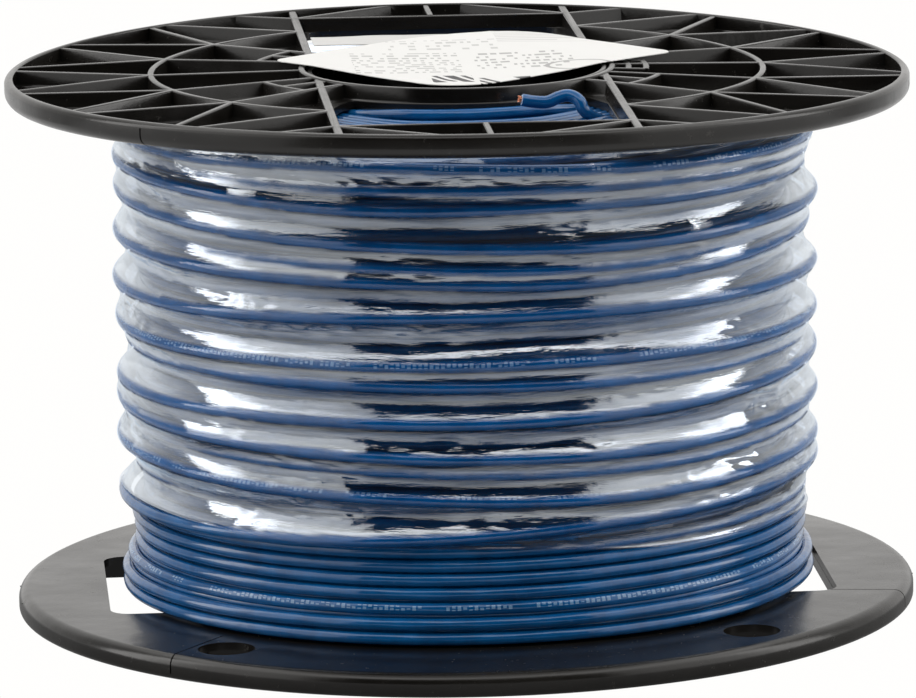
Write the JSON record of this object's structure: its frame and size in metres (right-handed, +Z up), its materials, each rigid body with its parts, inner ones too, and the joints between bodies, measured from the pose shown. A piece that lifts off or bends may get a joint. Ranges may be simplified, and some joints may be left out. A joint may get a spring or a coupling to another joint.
{
  "type": "wire spool",
  "caption": "Flanged black plastic spool wound with blue stranded insulated wire under clear film, with a paper label and the wire's start coming up through the upper flange.",
  "frame": {"origin": "on the spool's axis, in the plane of the lower flange's rim that it rests on", "axes": "+Z up along the spool's axis from the lower flange to the upper flange, -Y towards the upper flange's window where the wire's start comes out"},
  "size_m": [0.1752, 0.1752, 0.1065],
  "materials": {
    "black_plastic": "moulded gloss black with a faint sheen",
    "blue_nylon": "glossy blue nylon jacket",
    "blue_insulation": "satin blue insulation",
    "copper": "bare copper strand",
    "clear_film": "clear glossy stretch film",
    "white_paper": "matt white paper"
  },
  "bodies": {
    "spool": {"upper_flange": "black_plastic", "lower_flange": "black_plastic", "barrel_tube": "black_plastic", "winding_packed_turns": "blue_nylon", "winding_close_turns": "blue_nylon", "winding_outer_turns": "blue_nylon", "winding_end_turns": "blue_nylon", "film_wrap": "clear_film", "label": "white_paper", "label_backing": "white_paper"},
    "start_tail": {"tail_jacket": "blue_nylon", "tail_insulation": "blue_insulation", "copper_strand_01": "copper", "copper_strand_02": "copper", "copper_strand_03": "copper", "copper_strand_04": "copper", "copper_strand_05": "copper", "copper_strand_06": "copper", "copper_strand_07": "copper", "copper_strand_08": "copper", "copper_strand_09": "copper", "copper_strand_10": "copper", "copper_strand_11": "copper", "copper_strand_12": "copper", "copper_strand_13": "copper", "copper_strand_14": "copper", "copper_strand_15": "copper", "copper_strand_16": "copper", "copper_strand_17": "copper", "copper_strand_18": "copper", "copper_strand_19": "copper"}
  },
  "joints": [
    {"name": "start_tail_bend", "type": "hinge", "parent": "spool", "child": "start_tail", "pos_m": [0.0219, -0.0378, 0.1021], "axis": [0, 1, 0], "range_deg": [0, 70]}
  ]
}
